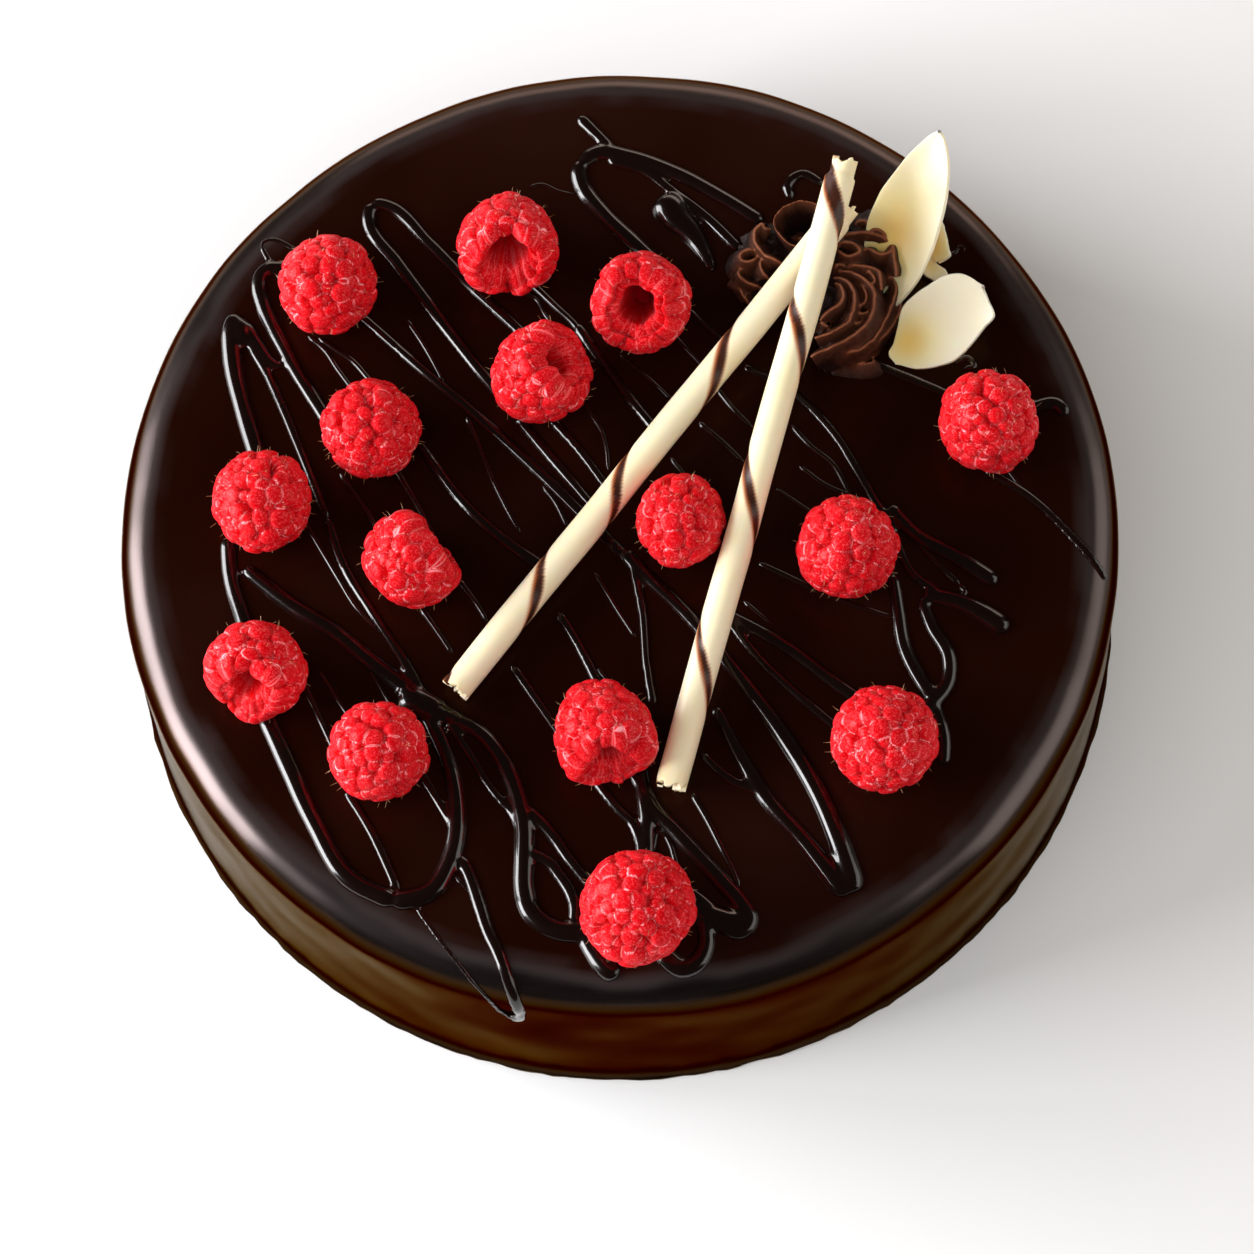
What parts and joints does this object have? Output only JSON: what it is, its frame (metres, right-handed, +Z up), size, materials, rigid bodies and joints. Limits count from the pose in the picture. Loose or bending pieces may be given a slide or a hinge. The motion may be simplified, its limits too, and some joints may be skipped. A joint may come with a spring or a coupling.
{
  "type": "chocolate raspberry cake",
  "caption": "Round glazed chocolate cake with glossy drizzle, whole raspberries, rolled white chocolate sticks, white chocolate petals and piped ganache rosettes.",
  "frame": {"origin": "middle of the cake's flat underside", "axes": "+Z up through the middle of the top; the picture is taken from the -Y side, with +X to its right"},
  "size_m": [0.23, 0.23, 0.0865],
  "materials": {
    "glaze": "very glossy dark chocolate glaze, near black-brown, with drizzle of the same chocolate",
    "raspberry": "satin translucent red drupelets, with a pale bloom, wet highlights and fine golden hairs",
    "white_chocolate": "smooth satin cream-white chocolate, the sticks with a dark chocolate spiral",
    "piped_ganache": "satin milk-brown piped ganache with lighter thin edges"
  },
  "bodies": {
    "root": {"cake": "glaze", "raspberry_01": "raspberry", "raspberry_02": "raspberry", "raspberry_03": "raspberry", "raspberry_04": "raspberry", "raspberry_05": "raspberry", "raspberry_06": "raspberry", "raspberry_07": "raspberry", "raspberry_08": "raspberry", "raspberry_09": "raspberry", "raspberry_10": "raspberry", "raspberry_11": "raspberry", "raspberry_12": "raspberry", "raspberry_13": "raspberry", "raspberry_14": "raspberry", "raspberry_15": "raspberry", "stick_under": "white_chocolate", "stick_over": "white_chocolate", "rosette_left": "piped_ganache", "rosette_right": "piped_ganache", "petal_tall": "white_chocolate", "petal_round": "white_chocolate", "petal_small_1": "white_chocolate", "petal_small_2": "white_chocolate"}
  },
  "joints": []
}
